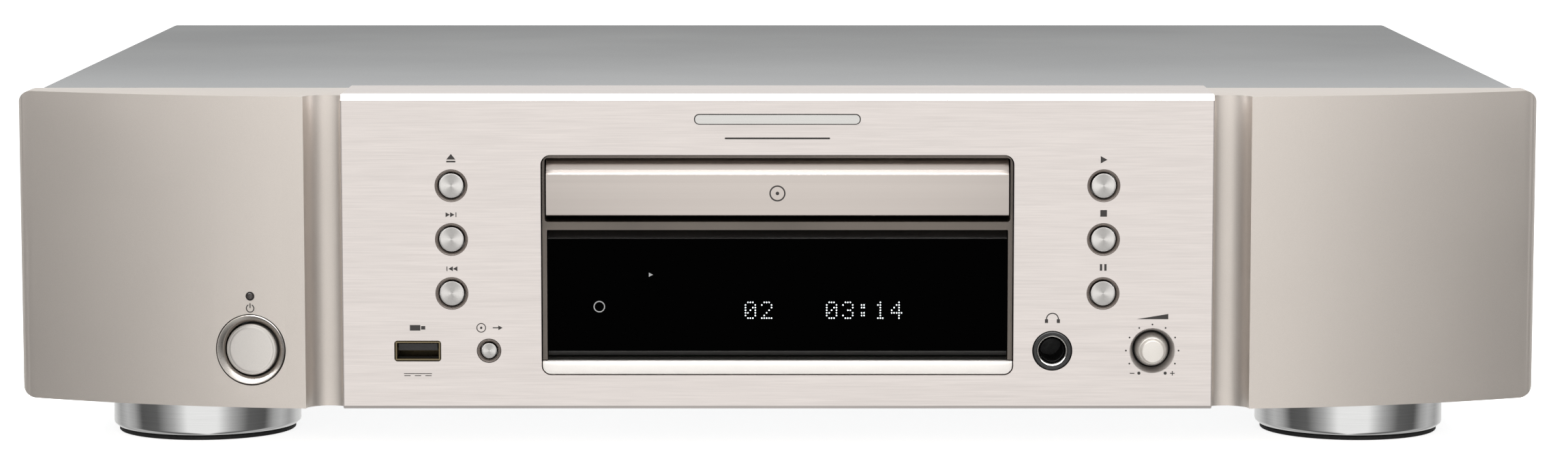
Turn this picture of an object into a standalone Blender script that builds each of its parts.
"""A full-width hi-fi CD player, built as its real pieces.

Sizes below are in millimetres and are turned into metres as each mesh is made.
The origin is on the standing surface, under the middle of the player.
The front faces -Y, +X is to the right as seen from the front, +Z is up.
"""

import math

import bmesh
import bpy
from mathutils import Matrix, Vector

MM = 0.001
GAP = 0.3  # clearance between neighbouring pieces

# The whole player
WIDTH, HEIGHT = 440.0, 105.0
FACE_Y = -168.0  # front face of the aluminium plate
FRONT_BACK_Y = -135.0  # back of the plate and of the cheeks
COVER_BACK_Y = 160.3
TERMINAL_Y = 170.5
BASE_Z = 14.7  # lower edge of the front plate and of the cheeks

# Front plate
PLATE_HALF, PLATE_WALL, FLANGE_WALL = 124.4, 5.0, 2.5
TOP_CHAMFER, BOTTOM_CHAMFER, EDGE = 1.7, 0.9, 0.3
WINDOW_HALF, WINDOW_LOW, WINDOW_HIGH, WINDOW_ROUND = 67.5, 24.4, 87.7, 2.8

# Window: a bezel with the door above and the display glass below, and a bright sill
BEZEL_Y, BEZEL_BACK_Y, BEZEL_ROUND = -165.8, -150.0, 2.5
GLASS_Y, GLASS_BACK_Y, GLASS_HALF = -165.6, -161.2, 65.6
GLASS_LOW, GLASS_HIGH, GLASS_BEVEL = 28.8, 65.7, 2.2
SILL_Y, SILL_BACK_Y, SILL_TOP = -167.4, -159.3, 28.3

# Cheeks: a shallow arc in plan from the corner beside the plate to the outer edge
CHEEK_TOP = 104.3
CORNER_X, CORNER_Y = 135.1, -167.5
CHEEK_ARC, CORNER_LEAN, OUTER_LEAN = 250.0, math.radians(5.0), math.radians(24.8)
GROOVE_Y, CHEEK_WALL, SIDE_ROUND, SILHOUETTE_ROUND = -161.5, 3.5, 2.1, 4.0

# Case
COVER_HALF, COVER_TOP, SHEET = 217.15, 103.6, 1.0
PAN_HALF, PAN_Z, PAN_SHEET, PAN_FLANGE = 215.8, 16.0, 1.2, 14.0
CASE_FRONT_Y = FRONT_BACK_Y + GAP
REAR_PANEL_Y, REAR_PANEL_TOP = 158.0, 102.2

# Feet
FOOT_RADIUS, FOOT_X, FOOT_FRONT_Y, FOOT_REAR_Y = 27.84, 171.2, -106.2, 118.0
FOOT_TOP, PAD_RADIUS, PAD_TOP = PAN_Z - GAP, 26.3, 1.2

# Buttons: (name, x, z)
ROUND_BUTTONS = (
    ("eject_button", -93.0, 78.9),
    ("next_button", -93.0, 63.5),
    ("previous_button", -93.0, 48.0),
    ("play_button", 93.0, 78.9),
    ("stop_button", 93.0, 63.5),
    ("pause_button", 93.0, 48.0),
)
BUTTON_RADIUS, BUTTON_HOLE, BUTTON_BACK_Y = 3.55, 4.7, -151.5
INPUT_X, INPUT_Z, INPUT_RADIUS, INPUT_HOLE = -82.5, 31.5, 2.25, 3.5
POWER_X, POWER_Z, LAMP_Z = -151.0, 31.4, 46.9
POWER_RADIUS, POWER_BORE, POWER_BEZEL, LAMP_RADIUS = 7.4, 8.0, 10.0, 1.0

# Sockets and the level knob on the plate
JACK_X, JACK_Z, JACK_RADIUS, JACK_FUNNEL, JACK_BORE = 78.6, 31.5, 5.45, 4.45, 3.3
USB_X, USB_Z, USB_WIDE, USB_HIGH = -102.9, 31.4, 13.4, 6.0
KNOB_X, KNOB_Z, KNOB_TIP_Y = 107.2, 31.55, -170.5
KNOB_RADIUS, KNOB_FACE, KNOB_RECESS, KNOB_HOLE = 4.8, 3.15, 6.5, 5.5

# Tray and its door
DOOR_HALF, DOOR_LOW, DOOR_HIGH, DOOR_Y, DOOR_BACK_Y = 66.1, 70.1, 86.2, -167.0, -160.0
TRAY_HALF, TRAY_LOW, TRAY_HIGH, TRAY_END_Y = 64.0, 72.0, 79.0, 22.0
DISC_Y, DISC_RECESS, SMALL_RECESS, SLOT_HALF = -93.0, 60.5, 40.5, 17.5

# Loader
LOADER_IN, LOADER_OUT, LOADER_FRONT_Y, LOADER_REAR_Y = 69.5, 72.0, -133.0, 28.0
LOADER_TOP, FLOOR_LOW, FLOOR_HIGH = 90.0, 44.0, 46.5
BASE_LOW, BASE_HIGH, BASE_HALF = 62.0, 64.0, 45.0
BASE_FRONT_Y, BASE_REAR_Y = -110.5, 16.0  # the front edge drops past the motor as the base tilts
PIVOT_Y, PIVOT_Z, PIVOT_RADIUS = 12.0, 63.0, 2.5
ROD_X, ROD_Z, ROD_RADIUS = 11.0, 66.0, 1.4
GEAR_X, GEAR_Y, PULLEY_X = -52.0, -121.5, -25.0
PULLEY_BIG, PULLEY_SMALL, BELT_LOW, BELT_HIGH = 9.0, 4.0, 61.95, 62.65
MOTOR_RADIUS, MOTOR_TOP = 10.0, 60.0
SLED_GEAR_X, SLED_GEAR_Y = 23.5, -50.0

TURN_STEPS = 28


# ---------- collections, materials and small helpers ----------


def clear_scene():
    for obj in list(bpy.data.objects):
        bpy.data.objects.remove(obj)
    for name in ("cd_player", "cutters"):
        bpy.context.scene.collection.children.link(bpy.data.collections.new(name))


def paint(name, colour, roughness, metallic):
    """One Principled material; the colour is linear RGB."""
    made = bpy.data.materials.new(name)
    made.use_nodes = True
    shader = made.node_tree.nodes["Principled BSDF"]
    shader.inputs["Base Color"].default_value = (*colour, 1)
    shader.inputs["Roughness"].default_value = roughness
    shader.inputs["Metallic"].default_value = metallic
    return made


FINISHES = {
    "aluminium": ((0.74, 0.69, 0.67), 0.35, 1.0),
    "champagne": ((0.55, 0.50, 0.46), 0.42, 0.6),
    "sheet_steel": ((0.35, 0.36, 0.37), 0.5, 0.8),
    "painted_grey": ((0.36, 0.37, 0.38), 0.45, 0.3),
    "chrome": ((0.80, 0.80, 0.80), 0.12, 1.0),
    "satin_silver": ((0.70, 0.69, 0.68), 0.28, 1.0),
    "black_gloss": ((0.004, 0.004, 0.004), 0.05, 0.0),
    "black_plastic": ((0.02, 0.02, 0.02), 0.5, 0.0),
    "taupe": ((0.085, 0.068, 0.055), 0.5, 0.0),
    "board_green": ((0.02, 0.10, 0.05), 0.55, 0.0),
    "copper": ((0.50, 0.22, 0.10), 0.4, 0.8),
    "rubber": ((0.015, 0.015, 0.015), 0.8, 0.0),
    "lamp": ((0.60, 0.25, 0.08), 0.2, 0.0),
    "white_plastic": ((0.75, 0.75, 0.72), 0.4, 0.0),
    "red_plastic": ((0.50, 0.02, 0.02), 0.4, 0.0),
}


def give(obj, home, finish):
    bpy.data.collections[home].objects.link(obj)
    if home == "cutters":
        obj.hide_render = True
        obj.display_type = "WIRE"
    else:
        obj.data.materials.append(paint(obj.name + "_" + finish, *FINISHES[finish]))
    return obj


def add_box(bm, low, high):
    size = Vector(high) - Vector(low)
    middle = (Vector(high) + Vector(low)) / 2
    place = Matrix.Translation(middle * MM) @ Matrix.Diagonal((*(size * MM), 1))
    bmesh.ops.create_cube(bm, size=1, matrix=place)


def add_rod(bm, start, end, radius, sides=20):
    """A round bar between two points."""
    along = (Vector(end) - Vector(start)) * MM
    turn = Vector((0, 0, 1)).rotation_difference(along).to_matrix().to_4x4()
    middle = Matrix.Translation((Vector(start) + Vector(end)) * MM / 2)
    bmesh.ops.create_cone(
        bm, cap_ends=True, segments=sides, radius1=radius * MM, radius2=radius * MM,
        depth=along.length, matrix=middle @ turn,
    )


# An outline drawn in (u, v) is extruded along the third axis, from low to high.
AXES = {
    "X": Matrix(((0, 0, 1, 0), (1, 0, 0, 0), (0, 1, 0, 0), (0, 0, 0, 1))),
    "Y": Matrix(((1, 0, 0, 0), (0, 0, -1, 0), (0, 1, 0, 0), (0, 0, 0, 1))),
    "Z": Matrix.Identity(4),
}


def add_outline(bm, outlines, low, high, axis):
    """A flat outline, with any holes as further outlines, extruded along an axis."""
    curve = bpy.data.curves.new("outline", "CURVE")
    curve.dimensions = "2D"
    curve.fill_mode = "BOTH"
    curve.extrude = (high - low) / 2 * MM
    for points in outlines:
        spline = curve.splines.new("POLY")
        spline.points.add(len(points) - 1)
        for target, (u, v) in zip(spline.points, points):
            target.co = (u * MM, v * MM, 0, 1)
        spline.use_cyclic_u = True
    drawn = bpy.data.objects.new("outline", curve)
    bpy.context.scene.collection.objects.link(drawn)
    graph = bpy.context.evaluated_depsgraph_get()
    mesh = bpy.data.meshes.new_from_object(drawn.evaluated_get(graph))
    bpy.data.objects.remove(drawn)
    middle = (low + high) / 2 * MM
    along = -middle if axis == "Y" else middle
    mesh.transform(AXES[axis] @ Matrix.Translation((0, 0, along)))
    piece = bmesh.new()
    piece.from_mesh(mesh)
    bmesh.ops.remove_doubles(piece, verts=piece.verts, dist=1e-6)
    piece.to_mesh(mesh)
    piece.free()
    bm.from_mesh(mesh)
    bpy.data.meshes.remove(mesh)


def arc(centre, radius, start, end, count):
    """Points on an arc, from one angle to another in degrees, both ends included."""
    turns = [math.radians(start + (end - start) * i / count) for i in range(count + 1)]
    return [(centre[0] + radius * math.cos(t), centre[1] + radius * math.sin(t)) for t in turns]


def rounded(low, high, radius, count=5):
    """A rectangle with round corners, anticlockwise."""
    (u0, v0), (u1, v1) = low, high
    corners = ((u1, v0, -90), (u1, v1, 0), (u0, v1, 90), (u0, v0, 180))
    points = []
    for u, v, start in corners:
        inward_u = radius if u == u0 else -radius
        inward_v = radius if v == v0 else -radius
        points += arc((u + inward_u, v + inward_v), radius, start, start + 90, count)
    return points


def solid(name, bm, finish, origin=(0, 0, 0), home="cd_player"):
    """An object from a bmesh drawn in world coordinates, with its origin at the given point."""
    bmesh.ops.recalc_face_normals(bm, faces=bm.faces)
    mesh = bpy.data.meshes.new(name)
    bm.to_mesh(mesh)
    bm.free()
    mesh.transform(Matrix.Translation(-Vector(origin) * MM))
    mesh.set_sharp_from_angle(angle=math.radians(35))
    obj = bpy.data.objects.new(name, mesh)
    obj.location = Vector(origin) * MM
    return give(obj, home, finish)


def box(name, low, high, finish, bevel=0.0):
    bm = bmesh.new()
    add_box(bm, low, high)
    obj = solid(name, bm, finish)
    return soften(obj, bevel) if bevel else obj


def rod(name, start, end, radius, finish, sides=24):
    bm = bmesh.new()
    add_rod(bm, start, end, radius, sides)
    return solid(name, bm, finish)


def extrusion(name, outlines, low, high, axis, finish, home="cd_player", origin=(0, 0, 0)):
    bm = bmesh.new()
    add_outline(bm, outlines, low, high, axis)
    return solid(name, bm, finish, origin, home)


def turned(name, profile, origin, finish, facing="Z", lean=0.0, home="cd_player", steps=TURN_STEPS):
    """A profile of (radius, height) points, top to bottom, screwed round the axis at origin.

    The height runs along +Z, out of the front (-Y) or out of the back (+Y).
    A profile that ends off the axis is closed into a ring.
    """
    mesh = bpy.data.meshes.new(name)
    count = len(profile)
    edges = [(i, i + 1) for i in range(count - 1)]
    if profile[0][0] > 0:
        edges.append((count - 1, 0))
    mesh.from_pydata([(r * MM, 0, h * MM) for r, h in profile], edges, [])
    obj = bpy.data.objects.new(name, mesh)
    obj.location = Vector(origin) * MM
    quarter = math.pi / 2
    obj.rotation_euler = {"Z": (0, 0, 0), "front": (quarter, 0, lean), "back": (-quarter, 0, 0)}[facing]
    screw = obj.modifiers.new("turn", "SCREW")
    screw.steps = screw.render_steps = steps
    screw.use_merge_vertices = True
    screw.merge_threshold = 1e-6
    screw.use_smooth_shade = True
    return give(obj, home, finish)


def soften(obj, width, angle=50):
    bevel = obj.modifiers.new("edge", "BEVEL")
    bevel.width = width * MM
    bevel.segments = 1
    bevel.limit_method = "ANGLE"
    bevel.angle_limit = math.radians(angle)
    return obj


def combine(obj, operation, *others):
    for other in others:
        boolean = obj.modifiers.new(operation.lower(), "BOOLEAN")
        boolean.operation = operation
        boolean.object = other
        boolean.solver = "EXACT"
    return obj


def shapes(name, *adders):
    """One hidden helper mesh for a Boolean, from functions that each add a shape."""
    bm = bmesh.new()
    for add in adders:
        add(bm)
    return solid(name, bm, "", home="cutters")


def boxes(name, *corners):
    bm = bmesh.new()
    for low, high in corners:
        add_box(bm, low, high)
    return solid(name, bm, "", home="cutters")


def rods(name, *bars):
    bm = bmesh.new()
    for start, end, radius in bars:
        add_rod(bm, start, end, radius)
    return solid(name, bm, "", home="cutters")


# ---------- front: plate, cheeks, window ----------


def front_plate():
    inner_y, in_top, in_low = FACE_Y + PLATE_WALL, HEIGHT - FLANGE_WALL, BASE_Z + FLANGE_WALL
    section = [
        (FACE_Y, BASE_Z + BOTTOM_CHAMFER), (FACE_Y, HEIGHT - TOP_CHAMFER),
        (FACE_Y + TOP_CHAMFER, HEIGHT), (FRONT_BACK_Y, HEIGHT), (FRONT_BACK_Y, in_top),
        (inner_y, in_top), (inner_y, in_low), (FRONT_BACK_Y, in_low),
        (FRONT_BACK_Y, BASE_Z), (FACE_Y + BOTTOM_CHAMFER, BASE_Z),
    ]
    plate = extrusion("front_plate", [section], -PLATE_HALF, PLATE_HALF, "X", "aluminium")
    soften(plate, EDGE)
    front, behind = FACE_Y - 5, FACE_Y + PLATE_WALL + 5
    window = rounded((-WINDOW_HALF, WINDOW_LOW), (WINDOW_HALF, WINDOW_HIGH), WINDOW_ROUND)
    usb_low = (USB_X - USB_WIDE / 2, USB_Z - USB_HIGH / 2)
    usb_high = (USB_X + USB_WIDE / 2, USB_Z + USB_HIGH / 2)

    def openings(bm):
        add_outline(bm, [window], front, behind, "Y")
        add_outline(bm, [rounded(usb_low, usb_high, 0.9, 3)], front, behind, "Y")
        for _, x, z in ROUND_BUTTONS:
            add_rod(bm, (x, front, z), (x, behind, z), BUTTON_HOLE)
        add_rod(bm, (INPUT_X, front, INPUT_Z), (INPUT_X, behind, INPUT_Z), INPUT_HOLE)
        add_rod(bm, (JACK_X, front, JACK_Z), (JACK_X, behind, JACK_Z), JACK_RADIUS + GAP)

    recess = turned(
        "knob_recess",
        [(0, 5), (KNOB_RECESS, 5), (KNOB_RECESS, 0), (KNOB_HOLE, -3.5), (KNOB_HOLE, -10), (0, -10)],
        (KNOB_X, FACE_Y, KNOB_Z), "", "front", home="cutters",
    )
    combine(plate, "DIFFERENCE", shapes("plate_openings", openings), recess)


def lean_at(x):
    """Angle by which the cheek's front leans back at a distance x from the middle."""
    return math.asin(math.sin(CORNER_LEAN) + (x - CORNER_X) / CHEEK_ARC)


def cheek_y(x, inset=0.0):
    y = CORNER_Y + CHEEK_ARC * (math.cos(CORNER_LEAN) - math.cos(lean_at(x)))
    return y + inset / math.cos(lean_at(x))


def cheek(name, side):
    """side is -1 on the left and +1 on the right."""
    inner, outer = PLATE_HALF + GAP, WIDTH / 2
    arc_end = outer - SIDE_ROUND
    groove_deep, groove_wide = CORNER_Y - GROOVE_Y, CORNER_X - inner
    plan = [(inner, FRONT_BACK_Y), (inner, GROOVE_Y)]
    for i in range(1, 6):  # a quarter ellipse, level beside the plate and steep at the corner
        t = math.pi / 2 * i / 6
        plan.append((inner + groove_wide * math.sin(t), GROOVE_Y + groove_deep * (1 - math.cos(t))))
    plan.append((CORNER_X, CORNER_Y))
    steps = 14
    spread = [CORNER_X + (arc_end - CORNER_X) * i / steps for i in range(1, steps + 1)]
    plan += [(x, cheek_y(x)) for x in spread]
    edge_y = cheek_y(arc_end)
    lean = math.degrees(OUTER_LEAN)
    plan += [
        (arc_end + SIDE_ROUND * math.sin(math.radians(t)), edge_y + 2.6 * (1 - math.cos(math.radians(t))))
        for t in (lean, 50, 70, 90)
    ]
    plan.append((outer, FRONT_BACK_Y))
    plan = [(side * x, y) for x, y in plan]
    made = extrusion(name, [plan], BASE_Z - 5, CHEEK_TOP + 5, "Z", "champagne")
    # The front view rounds the outer corners; the inner ones stay square, beside the plate.
    seen = rounded((-outer, BASE_Z), (outer, CHEEK_TOP), SILHOUETTE_ROUND)
    silhouette = extrusion(name + "_silhouette", [seen], -200, -100, "Y", "", home="cutters")
    hollow = [(inner + CHEEK_WALL, FRONT_BACK_Y + 5), (inner + CHEEK_WALL, GROOVE_Y + CHEEK_WALL)]
    hollow += [(x, cheek_y(x, CHEEK_WALL)) for x in (CORNER_X + 2, 155, 175, 195, outer - CHEEK_WALL)]
    hollow.append((outer - CHEEK_WALL, FRONT_BACK_Y + 5))
    hollow = [(side * x, y) for x, y in hollow]
    pocket = extrusion(
        name + "_pocket", [hollow], BASE_Z + CHEEK_WALL, CHEEK_TOP - CHEEK_WALL, "Z", "", home="cutters"
    )
    return combine(combine(made, "INTERSECT", silhouette), "DIFFERENCE", pocket)


def out_of_cheek(x, z, reach):
    """A point a given distance out of the left cheek's surface, along its normal there."""
    lean = lean_at(x)
    return (-x - reach * math.sin(lean), cheek_y(x) - reach * math.cos(lean), z)


def power_controls(left_cheek):
    x = -POWER_X
    lean = -lean_at(x)
    centre, lamp = out_of_cheek(x, POWER_Z, 0), out_of_cheek(x, LAMP_Z, 0)
    bores = rods(
        "power_bores",
        (out_of_cheek(x, POWER_Z, 10), out_of_cheek(x, POWER_Z, -10), POWER_BEZEL + GAP),
        (out_of_cheek(x, LAMP_Z, 10), out_of_cheek(x, LAMP_Z, -10), LAMP_RADIUS + GAP),
    )
    combine(left_cheek, "DIFFERENCE", bores)
    turned(
        "power_bezel",
        [(POWER_BORE + 0.2, -1.7), (POWER_BEZEL - 0.3, 0.15), (POWER_BEZEL, -0.1), (POWER_BEZEL, -9),
         (POWER_BORE, -9), (POWER_BORE, -1.9)],
        centre, "satin_silver", "front", lean,
    )
    turned(
        "power_button",
        [(0, -0.5), (6.45, -0.5), (7.1, -0.75), (POWER_RADIUS, -1.4), (POWER_RADIUS, -9.5),
         (4, -9.5), (4, -11.5), (0, -11.5)],
        centre, "satin_silver", "front", lean,
    )
    turned(
        "standby_lamp",
        [(0, 0.3), (0.6, 0.2), (LAMP_RADIUS, -0.2), (LAMP_RADIUS, -6), (0, -6)],
        lamp, "lamp", "front", lean, steps=16,
    )


def window_parts():
    low = WINDOW_LOW + GAP
    outer = rounded((-WINDOW_HALF + GAP, low), (WINDOW_HALF - GAP, WINDOW_HIGH - GAP), BEZEL_ROUND)
    door_hole = rounded((-DOOR_HALF - 0.4, DOOR_LOW - 1.8), (DOOR_HALF + 0.4, DOOR_HIGH + 0.4), 0.8, 3)
    glass_hole = rounded((-GLASS_HALF - GAP, GLASS_LOW - GAP), (GLASS_HALF + GAP, GLASS_HIGH + GAP), 0.3, 2)
    bezel = extrusion("window_bezel", [outer, door_hole, glass_hole], BEZEL_Y, BEZEL_BACK_Y, "Y", "taupe")
    reach = WINDOW_HALF + 5  # past the sill's ends, which the round ends then trim
    sill_seat = boxes("sill_seat", ((-reach, -170, 20), (reach, SILL_BACK_Y + GAP, SILL_TOP + GAP)))
    combine(bezel, "DIFFERENCE", sill_seat)
    slope = [(SILL_BACK_Y, SILL_TOP), (-164.6, 28.2), (-166.0, 27.2), (-166.9, 25.9), (SILL_Y, low)]
    sill = extrusion("window_sill", [slope + [(SILL_BACK_Y, low)]], -reach, reach, "X", "aluminium")
    round_ends = extrusion("sill_ends", [outer], -180, -150, "Y", "", home="cutters")
    combine(sill, "INTERSECT", round_ends)
    bevel_y = GLASS_Y + GLASS_BEVEL
    glass = [(GLASS_BACK_Y, GLASS_LOW), (GLASS_BACK_Y, GLASS_HIGH), (bevel_y, GLASS_HIGH),
             (GLASS_Y, GLASS_HIGH - GLASS_BEVEL), (GLASS_Y, GLASS_LOW + GLASS_BEVEL), (bevel_y, GLASS_LOW)]
    extrusion("display_window", [glass], -GLASS_HALF, GLASS_HALF, "X", "black_gloss")
    box("display_module", (-45, GLASS_BACK_Y + 0.7, 34), (45, -152.5, 60), "black_gloss", 0.6)


# ---------- controls and sockets on the plate ----------


def plunger(name, x, z, radius, flange):
    """A round push button on a flange and a stem, its face level with the plate."""
    dome = [(0, 0.1), (radius * 0.6, 0.08), (radius - 0.3, 0.0), (radius, -0.35)]
    stem = [(radius, -5.4), (flange, -5.4), (flange, -6.6), (1.5, -6.6), (1.5, -16.5), (0, -16.5)]
    turned(name, dome + stem, (x, FACE_Y, z), "satin_silver", "front", steps=20)


def plate_controls():
    for name, x, z in ROUND_BUTTONS:
        plunger(name, x, z, BUTTON_RADIUS, BUTTON_RADIUS + 2)
    plunger("input_button", INPUT_X, INPUT_Z, INPUT_RADIUS, INPUT_RADIUS + 2)
    reach = FACE_Y - KNOB_TIP_Y
    turned(
        "level_knob",
        [(0, reach), (KNOB_FACE - 0.3, reach), (KNOB_FACE, reach - 0.3), (3.6, 0.4), (4.3, -1.2),
         (KNOB_RADIUS, -3.0), (KNOB_RADIUS, -7.7), (3.1, -7.7), (3.1, -1.8), (0, -1.8)],
        (KNOB_X, FACE_Y, KNOB_Z), "satin_silver", "front",
    )
    control = box("level_control", (KNOB_X - 6, -160, KNOB_Z - 6), (KNOB_X + 6, -150, KNOB_Z + 6), "black_plastic")
    shaft = rods("level_shaft", ((KNOB_X, -165.7, KNOB_Z), (KNOB_X, -155, KNOB_Z), 2.6))
    combine(control, "UNION", shaft)
    turned(
        "headphone_jack",
        [(JACK_BORE, -1.4), (JACK_FUNNEL, -0.1), (JACK_RADIUS - 0.3, 0.3), (JACK_RADIUS, 0.0),
         (JACK_RADIUS, -18), (0, -18), (0, -16), (JACK_BORE, -16)],
        (JACK_X, FACE_Y, JACK_Z), "black_plastic", "front",
    )
    half_wide, half_high = USB_WIDE / 2 - GAP, USB_HIGH / 2 - GAP
    shell = box(
        "usb_socket", (USB_X - half_wide, -167.6, USB_Z - half_high),
        (USB_X + half_wide, -152, USB_Z + half_high), "chrome",
    )
    mouth = boxes(
        "usb_mouth",
        ((USB_X - half_wide + 0.4, -170, USB_Z - half_high + 0.4),
         (USB_X + half_wide - 0.4, -153, USB_Z + half_high - 0.4)),
    )
    tongue = boxes("usb_tongue", ((USB_X - 5.5, -166.4, USB_Z + 0.1), (USB_X + 5.5, -152.5, USB_Z + 1.9)))
    combine(combine(shell, "DIFFERENCE", mouth), "UNION", tongue)


# ---------- case ----------


def case():
    floor = [(-PAN_HALF, PAN_Z), (PAN_HALF, PAN_Z), (PAN_HALF, PAN_Z + PAN_FLANGE)]
    inside = PAN_HALF - PAN_SHEET
    floor += [(inside, PAN_Z + PAN_FLANGE), (inside, PAN_Z + PAN_SHEET)]
    floor += [(-inside, PAN_Z + PAN_SHEET), (-inside, PAN_Z + PAN_FLANGE), (-PAN_HALF, PAN_Z + PAN_FLANGE)]
    extrusion("chassis_pan", [floor], CASE_FRONT_Y, 159.2, "Y", "sheet_steel")
    case_low = PAN_Z + PAN_SHEET + GAP
    wall = PAN_HALF - PAN_SHEET - GAP
    ring = [(-wall, case_low), (wall, case_low), (wall, REAR_PANEL_TOP), (-wall, REAR_PANEL_TOP)]
    passage = [(-76, 58), (76, 58), (76, 98), (-76, 98)]
    extrusion("front_subpanel", [ring, passage], CASE_FRONT_Y, CASE_FRONT_Y + SHEET, "Y", "sheet_steel")
    outer = [(-COVER_HALF, PAN_Z)] + arc((-COVER_HALF + 2, COVER_TOP - 2), 2, 180, 90, 4)
    outer += arc((COVER_HALF - 2, COVER_TOP - 2), 2, 90, 0, 4) + [(COVER_HALF, PAN_Z)]
    side, top = COVER_HALF - SHEET, COVER_TOP - SHEET
    inner = [(side, PAN_Z)] + arc((side - 1, top - 1), 1, 0, 90, 4)
    inner += arc((-side + 1, top - 1), 1, 90, 180, 4) + [(-side, PAN_Z)]
    extrusion("top_cover", [outer + inner], CASE_FRONT_Y, COVER_BACK_Y, "Y", "painted_grey")


def rear_parts():
    inlet_x, inlet_z = -165.0, 48.0
    rca = {"rca_left": (95, 62, "white_plastic"), "rca_right": (95, 40, "red_plastic"),
           "coax_jack": (140, 40, "black_plastic")}
    optical_x, optical_z, remote_x, remote_z = 140.0, 62.0, 175.0, 40.0
    wall = PAN_HALF - PAN_SHEET - GAP
    low = PAN_Z + PAN_SHEET + GAP
    outline = [(-wall, low), (wall, low), (wall, REAR_PANEL_TOP), (-wall, REAR_PANEL_TOP)]
    holes = [[(inlet_x - 14, inlet_z - 10.5), (inlet_x + 14, inlet_z - 10.5),
              (inlet_x + 14, inlet_z + 10.5), (inlet_x - 14, inlet_z + 10.5)]]
    holes += [arc((x, z), 5.0, 0, 345, 23) for x, z, _ in rca.values()]
    holes.append(arc((remote_x, remote_z), 4.0, 0, 345, 23))
    holes.append(rounded((optical_x - 7.1, optical_z - 5.2), (optical_x + 7.1, optical_z + 5.2), 0.5, 1))
    extrusion("rear_panel", [outline] + holes, REAR_PANEL_Y, REAR_PANEL_Y + PAN_SHEET, "Y", "sheet_steel")

    outside = REAR_PANEL_Y + PAN_SHEET + GAP
    inlet = box("mains_inlet", (inlet_x - 13.6, 140, inlet_z - 10.1), (inlet_x + 13.6, 161, inlet_z + 10.1),
                "black_plastic")
    flange = boxes("inlet_flange", ((inlet_x - 16, outside, inlet_z - 12.5), (inlet_x + 16, 162, inlet_z + 12.5)))
    mouth = boxes("inlet_mouth", ((inlet_x - 12, 146, inlet_z - 8), (inlet_x + 12, 165, inlet_z + 8)))
    pins = boxes(
        "inlet_pins",
        *(((inlet_x + dx - 1, 143, inlet_z + dz - 2), (inlet_x + dx + 1, 155, inlet_z + dz + 2))
          for dx, dz in ((-7, -2), (0, 2), (7, -2))),
    )
    combine(inlet, "UNION", flange)
    combine(inlet, "DIFFERENCE", mouth)
    combine(inlet, "UNION", pins)

    reach = TERMINAL_Y - outside
    for name, (x, z, finish) in rca.items():
        profile = [(1.7, reach - 9), (1.7, reach), (4.0, reach), (4.2, reach - 0.4), (4.2, 3), (6.3, 3), (6.3, 0),
                   (4.6, 0), (4.6, -9), (0, -9), (0, reach - 9)]
        turned(name, profile[-1:] + profile[:-1], (x, outside, z), finish, "back", steps=20)
    turned(
        "remote_jack",
        [(0, -7), (1.8, -7), (1.8, 2), (4.6, 2), (4.6, 0), (3.6, 0), (3.6, -9), (0, -9)],
        (remote_x, outside, remote_z), "black_plastic", "back", steps=20,
    )
    optical = box("optical_out", (optical_x - 6.8, 149, optical_z - 4.9), (optical_x + 6.8, 161.5, optical_z + 4.9),
                  "black_plastic", 0.4)
    port = boxes("optical_port", ((optical_x - 4, 160.2, optical_z - 3.4), (optical_x + 4, 165, optical_z + 3.4)))
    combine(optical, "DIFFERENCE", port)


def feet():
    for end, y in (("front", FOOT_FRONT_Y), ("rear", FOOT_REAR_Y)):
        for side, x in (("left", -FOOT_X), ("right", FOOT_X)):
            turned(
                f"foot_{end}_{side}",
                [(0, FOOT_TOP), (FOOT_RADIUS - 0.5, FOOT_TOP), (FOOT_RADIUS, FOOT_TOP - 0.5),
                 (FOOT_RADIUS, PAD_TOP + 1.4), (FOOT_RADIUS - 1.1, PAD_TOP + GAP), (0, PAD_TOP + GAP)],
                (x, y, 0), "chrome", steps=40,
            )
            rod(f"foot_pad_{end}_{side}", (x, y, 0), (x, y, PAD_TOP), PAD_RADIUS, "rubber", 40)


# ---------- boards and power supply ----------


def electronics():
    board = [(-120, 19), (120, 19), (120, 98), (76, 98), (76, 64), (-76, 64), (-76, 98), (-120, 98)]
    extrusion("front_board", [board], -149.5, -147.9, "Y", "board_green")
    box("main_board", (20, 45, 26), (205, 148, 27.6), "board_green")
    box("power_board", (-205, -125, 26), (-84, 30, 27.6), "board_green")
    box("filter_capacitor", (46, 70, 28), (72, 96, 29), "black_plastic")
    can = rods("capacitor_can", ((59, 83, 28.5), (59, 83, 66), 12.5))
    combine(bpy.data.objects["filter_capacitor"], "UNION", can)
    core = box("transformer", (-200, 60, 18), (-130, 122, 74), "sheet_steel", 1.0)
    winding = boxes("transformer_winding", ((-185, 50, 28), (-145, 132, 64)))
    combine(core, "UNION", soften(winding, 4))


# ---------- loader, pickup and tray ----------


def toothed(centre, radius, depth, teeth):
    """A gear's outline: four points a tooth."""
    points = []
    for i in range(teeth):
        for share, reach in ((0.0, -depth), (0.28, 0.0), (0.55, 0.0), (0.83, -depth)):
            t = 2 * math.pi * (i + share) / teeth
            r = radius + reach
            points.append((centre[0] + r * math.cos(t), centre[1] + r * math.sin(t)))
    return points


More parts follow.
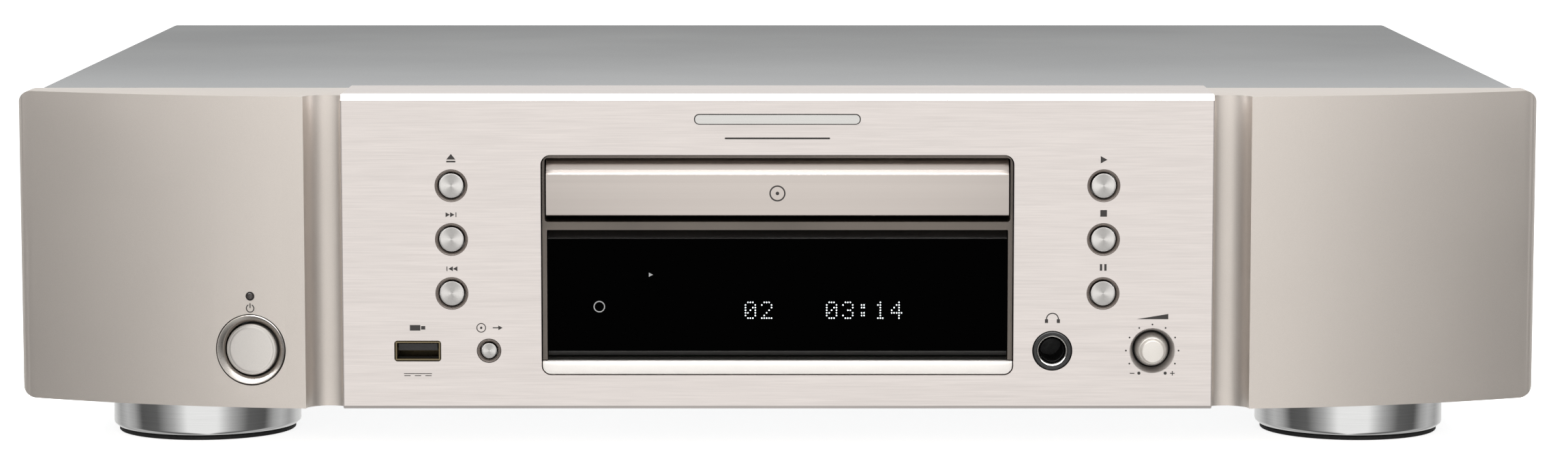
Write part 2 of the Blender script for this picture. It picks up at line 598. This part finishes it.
def loader():
    rail_low, rail_high, rail_in = 69.5, TRAY_LOW - GAP, 61.0
    leg_low = PAN_Z + PAN_SHEET + GAP
    wall = [(LOADER_OUT, leg_low), (LOADER_OUT, LOADER_TOP), (LOADER_IN, LOADER_TOP), (LOADER_IN, rail_high),
            (rail_in, rail_high), (rail_in, rail_low), (LOADER_IN, rail_low), (LOADER_IN, FLOOR_HIGH)]
    underside = [(-LOADER_IN, leg_low), (-LOADER_IN, FLOOR_LOW), (LOADER_IN, FLOOR_LOW), (LOADER_IN, leg_low)]
    section = wall + [(-x, z) for x, z in reversed(wall)] + underside
    frame = extrusion("loader_frame", [section], LOADER_FRONT_Y, LOADER_REAR_Y, "Y", "black_plastic")
    cuts = boxes(
        "loader_cuts",
        ((-30, -105, FLOOR_LOW - 5), (30, 5, FLOOR_HIGH + 5)),  # service opening under the pickup
        ((-80, -113, 10), (80, 8, FLOOR_LOW - 5)),  # leaves four legs
    )
    bearings = rods("pivot_bores", ((-80, PIVOT_Y, PIVOT_Z), (80, PIVOT_Y, PIVOT_Z), PIVOT_RADIUS + 0.5))
    combine(frame, "DIFFERENCE", cuts, bearings)

    bridge = box("clamp_bridge", (-LOADER_OUT, DISC_Y - 15, LOADER_TOP + GAP),
                 (LOADER_OUT, DISC_Y + 15, LOADER_TOP + GAP + 1.5), "sheet_steel", 0.4)
    eye = rods("bridge_eye", ((0, DISC_Y, LOADER_TOP - 5), (0, DISC_Y, LOADER_TOP + 10), 7.5))
    combine(bridge, "DIFFERENCE", eye)
    turned(
        "clamp_puck",
        [(0, 94.5), (9.5, 94.5), (9.5, 93.0), (6.8, 93.0), (6.8, 88.5), (15, 88.5), (16, 87.5), (16, 82.2),
         (15, 81.2), (8, 81.2), (8, 83.5), (0, 83.5)],
        (0, DISC_Y, 0), "black_plastic", steps=24,
    )
    rod("loading_motor", (PULLEY_X, GEAR_Y, FLOOR_HIGH + GAP), (PULLEY_X, GEAR_Y, MOTOR_TOP), MOTOR_RADIUS,
        "satin_silver")
    turned(
        "motor_pulley",
        [(0, 64), (5, 64), (5, 63.3), (PULLEY_SMALL, 62.9), (PULLEY_SMALL, 61.7), (5, 61.3), (5, 60.5), (0, 60.5)],
        (PULLEY_X, GEAR_Y, 0), "white_plastic", steps=20,
    )
    gear = extrusion("loading_gear", [toothed((GEAR_X, GEAR_Y), 8, 1.4, 14)], 65, 71, "Z", "white_plastic",
                     origin=(GEAR_X, GEAR_Y, 0))
    hub = turned(
        "loading_hub",
        [(0, 65.5), (10, 65.5), (10, 63.3), (PULLEY_BIG, 62.9), (PULLEY_BIG, 61.7), (10, 61.3), (10, 60.5),
         (3, 60.5), (3, FLOOR_HIGH + GAP), (0, FLOOR_HIGH + GAP)],
        (GEAR_X, GEAR_Y, 0), "", home="cutters",
    )
    combine(gear, "UNION", hub)
    drive_belt()


def drive_belt():
    """A flat belt round the two pulleys."""
    spin = math.degrees(math.asin((PULLEY_BIG - PULLEY_SMALL) / (PULLEY_X - GEAR_X)))
    loops = []
    for grow in (1.0, 0.3):
        big = arc((GEAR_X, GEAR_Y), PULLEY_BIG + grow, 90 - spin, 270 + spin, 14)
        small = arc((PULLEY_X, GEAR_Y), PULLEY_SMALL + grow, -90 + spin, 90 - spin, 8)
        loops.append(big + small)
    extrusion("drive_belt", loops, BELT_LOW, BELT_HIGH, "Z", "rubber")


def pickup():
    base = box("pickup_base", (-BASE_HALF, BASE_FRONT_Y, BASE_LOW), (BASE_HALF, BASE_REAR_Y, BASE_HIGH),
               "sheet_steel")
    opening = boxes("sled_opening", ((-16.5, -79, 50), (16.5, 3, 70)))
    posts = boxes(
        "rod_posts",
        *(((side * ROD_X - 2.5, y, BASE_LOW + 0.5), (side * ROD_X + 2.5, y + 2.4, ROD_Z + 2.5))
          for side in (-1, 1) for y in (-82.3, 3.9)),
    )
    pins = rods("pivot_pins", *(((s * 40, PIVOT_Y, PIVOT_Z), (s * 71.5, PIVOT_Y, PIVOT_Z), PIVOT_RADIUS)
                                for s in (-1, 1)))
    combine(base, "DIFFERENCE", opening)
    combine(base, "UNION", posts, pins)

    rod("spindle_motor", (0, DISC_Y, BASE_HIGH + GAP), (0, DISC_Y, 70.5), 12.5, "satin_silver", 32)
    turned(
        "turntable",
        [(0, 79.6), (5.2, 79.6), (7.3, 78.6), (7.3, 77.3), (15, 77.3), (15, 75.2), (3, 75.2), (1.6, 74), (1.6, 70.8),
         (0, 70.8)],
        (0, DISC_Y, 0), "black_plastic", steps=24,
    )
    for side, x in (("left", -ROD_X), ("right", ROD_X)):
        rod(f"guide_rod_{side}", (x, -79.6, ROD_Z), (x, 3.6, ROD_Z), ROD_RADIUS, "chrome", 16)

    sled = box("pickup_sled", (-15, -77, 60), (15, -58, 69.5), "black_plastic")
    additions = shapes(
        "sled_lens_and_rack",
        lambda bm: add_rod(bm, (0, -70, 69), (0, -70, 73), 3.5),
        lambda bm: add_box(bm, (14.3, -76, 64.6), (16.2, -34, 67.4)),
    )
    bores = rods("sled_bores", *(((x, -90, ROD_Z), (x, -40, ROD_Z), ROD_RADIUS + 0.4) for x in (-ROD_X, ROD_X)))
    combine(combine(sled, "UNION", additions), "DIFFERENCE", bores)
    extrusion("sled_gear", [toothed((SLED_GEAR_X, SLED_GEAR_Y), 7.0, 1.2, 16)], BASE_HIGH + GAP, 68.0, "Z",
              "white_plastic", origin=(SLED_GEAR_X, SLED_GEAR_Y, 0))


def tray():
    face = [(DOOR_Y + 0.7, DOOR_LOW), (DOOR_Y, DOOR_LOW + 0.9), (DOOR_Y, 82.0), (-165.8, 83.2)]
    rolled_top = [(-165.3, 84.4), (-164.8, 85.1), (-164.0, 85.75), (-162.6, DOOR_HIGH)]
    section = [(DOOR_BACK_Y, DOOR_LOW)] + face + rolled_top + [(DOOR_BACK_Y, DOOR_HIGH)]
    door = extrusion("tray_door", [section], -DOOR_HALF, DOOR_HALF, "X", "aluminium")
    soften(door, 0.25, 60)

    outline = [(-TRAY_HALF, DOOR_BACK_Y + GAP), (TRAY_HALF, DOOR_BACK_Y + GAP), (TRAY_HALF, TRAY_END_Y),
               (38, TRAY_END_Y), (38, -24), (-38, -24), (-38, TRAY_END_Y), (-TRAY_HALF, TRAY_END_Y)]
    made = extrusion("tray", [outline], TRAY_LOW, TRAY_HIGH, "Z", "black_plastic")
    big = shapes("disc_recess", lambda bm: add_rod(bm, (0, DISC_Y, 76.5), (0, DISC_Y, 90), DISC_RECESS, 64))
    small = shapes("small_recess", lambda bm: add_rod(bm, (0, DISC_Y, 75.3), (0, DISC_Y, 90), SMALL_RECESS, 48))
    slot_arc = arc((0, DISC_Y), SLOT_HALF, 180, 360, 14)
    slot = extrusion("tray_slot", [slot_arc + [(SLOT_HALF, 40), (-SLOT_HALF, 40)]], 60, 90, "Z", "", home="cutters")
    rack = boxes("tray_rack", ((-43.6, -150, 69.6), (-41, 20, 72.6)))
    combine(made, "DIFFERENCE", big, small, slot)
    combine(made, "UNION", rack)


def build():
    clear_scene()
    front_plate()
    left = cheek("left_cheek", -1)
    cheek("right_cheek", 1)
    power_controls(left)
    window_parts()
    plate_controls()
    case()
    rear_parts()
    feet()
    electronics()
    loader()
    pickup()
    tray()


build()
